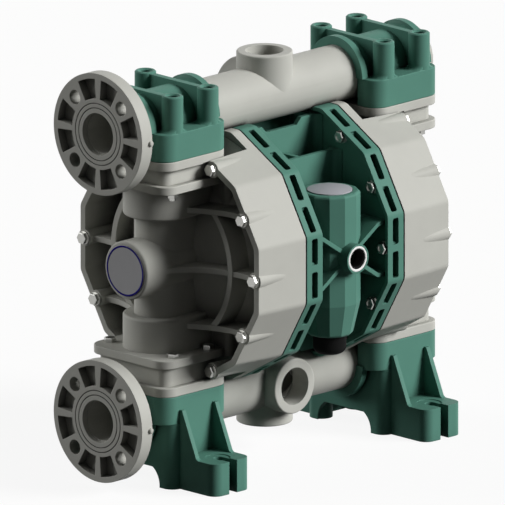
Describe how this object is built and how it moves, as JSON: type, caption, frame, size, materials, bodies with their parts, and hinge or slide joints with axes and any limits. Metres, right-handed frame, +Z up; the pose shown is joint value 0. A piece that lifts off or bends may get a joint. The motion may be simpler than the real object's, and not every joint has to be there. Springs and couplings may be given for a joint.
{
  "type": "air operated diaphragm pump",
  "caption": "Air operated double diaphragm pump: twelve-sided ribbed chambers, green centre valve block, flanged suction and discharge manifolds, slotted feet.",
  "frame": {"origin": "on the floor, midway between the two feet and on the plane of the manifold axes", "axes": "+X along the manifolds away from the pipe flanges, +Y to the rear, away from the air inlet, +Z up"},
  "size_m": [0.5323, 0.3129, 0.5166],
  "materials": {
    "green_polypropylene": "moulded satin green polypropylene",
    "grey_polypropylene": "moulded satin warm grey polypropylene",
    "cap_grey": "moulded mid grey plastic",
    "label_grey": "plain grey disc",
    "white_plastic": "moulded white plastic",
    "black_plastic": "porous black plastic",
    "seat_plastic": "machined natural plastic",
    "black_rubber": "moulded black rubber",
    "ball_rubber": "ground black rubber",
    "anodised_aluminium": "clear anodised aluminium",
    "stainless_steel": "bright stainless steel"
  },
  "bodies": {
    "root": {"air_plate_left": "green_polypropylene", "air_plate_right": "green_polypropylene", "casing_left": "grey_polypropylene", "casing_right": "grey_polypropylene", "discharge_cage_left": "grey_polypropylene", "discharge_cage_right": "grey_polypropylene", "suction_cage_left": "grey_polypropylene", "suction_cage_right": "grey_polypropylene", "discharge_seat_left": "seat_plastic", "discharge_seat_right": "seat_plastic", "suction_seat_left": "seat_plastic", "suction_seat_right": "seat_plastic", "top_cap_left": "green_polypropylene", "top_cap_right": "green_polypropylene", "foot_left": "green_polypropylene", "foot_right": "green_polypropylene", "diaphragm_left": "black_rubber", "diaphragm_right": "black_rubber", "boss_disc_left": "label_grey", "boss_disc_right": "label_grey", "casing_bolts_left": "stainless_steel", "casing_bolts_right": "stainless_steel", "casing_washers": "stainless_steel", "casing_nuts": "stainless_steel", "discharge_guides": "seat_plastic", "suction_guides": "seat_plastic", "cage_gaskets": "black_rubber", "branch_gaskets": "black_rubber", "hub_screws": "stainless_steel", "centre_block": "green_polypropylene", "inlet_insert": "white_plastic", "valve_cap": "cap_grey", "valve_sleeve": "anodised_aluminium", "exhaust_muffler": "black_plastic", "shaft_bushes": "seat_plastic", "discharge_manifold": "grey_polypropylene", "suction_manifold": "grey_polypropylene", "discharge_flange": "grey_polypropylene", "suction_flange": "grey_polypropylene", "discharge_plug": "grey_polypropylene", "suction_plug": "grey_polypropylene", "clamp_bolts_top": "stainless_steel", "clamp_nuts_top": "stainless_steel", "clamp_bolts_bottom": "stainless_steel", "clamp_nuts_bottom": "stainless_steel"},
    "shaft_group": {"shaft": "stainless_steel", "inner_disc_left": "stainless_steel", "inner_disc_right": "stainless_steel", "outer_disc_left": "grey_polypropylene", "outer_disc_right": "grey_polypropylene"},
    "spool": {"valve_spool": "anodised_aluminium"},
    "pilot": {"pilot_pin": "stainless_steel"},
    "suction_ball_l": {"suction_ball_left": "ball_rubber"},
    "suction_ball_r": {"suction_ball_right": "ball_rubber"},
    "discharge_ball_l": {"discharge_ball_left": "ball_rubber"},
    "discharge_ball_r": {"discharge_ball_right": "ball_rubber"}
  },
  "joints": [
    {"name": "shaft_slide", "type": "slide", "parent": "root", "child": "shaft_group", "axis": [1, 0, 0], "range_m": [-0.01, 0.01], "deforming": ["diaphragm_left", "diaphragm_right"]},
    {"name": "pilot_slide", "type": "slide", "parent": "root", "child": "pilot", "axis": [1, 0, 0], "range_m": [-0.005, 0.005]},
    {"name": "spool_shift", "type": "slide", "parent": "root", "child": "spool", "axis": [0, 0, 1], "range_m": [0, 0.024]},
    {"name": "suction_lift_left", "type": "slide", "parent": "root", "child": "suction_ball_l", "axis": [0, 0, 1], "range_m": [0, 0.009]},
    {"name": "suction_lift_right", "type": "slide", "parent": "root", "child": "suction_ball_r", "axis": [0, 0, 1], "range_m": [0, 0.009]},
    {"name": "discharge_lift_left", "type": "slide", "parent": "root", "child": "discharge_ball_l", "axis": [0, 0, 1], "range_m": [0, 0.009]},
    {"name": "discharge_lift_right", "type": "slide", "parent": "root", "child": "discharge_ball_r", "axis": [0, 0, 1], "range_m": [0, 0.009]}
  ],
  "couplings": [
    {"joint": "pilot_slide", "follows": "shaft_slide", "ratio": 0.5}
  ]
}
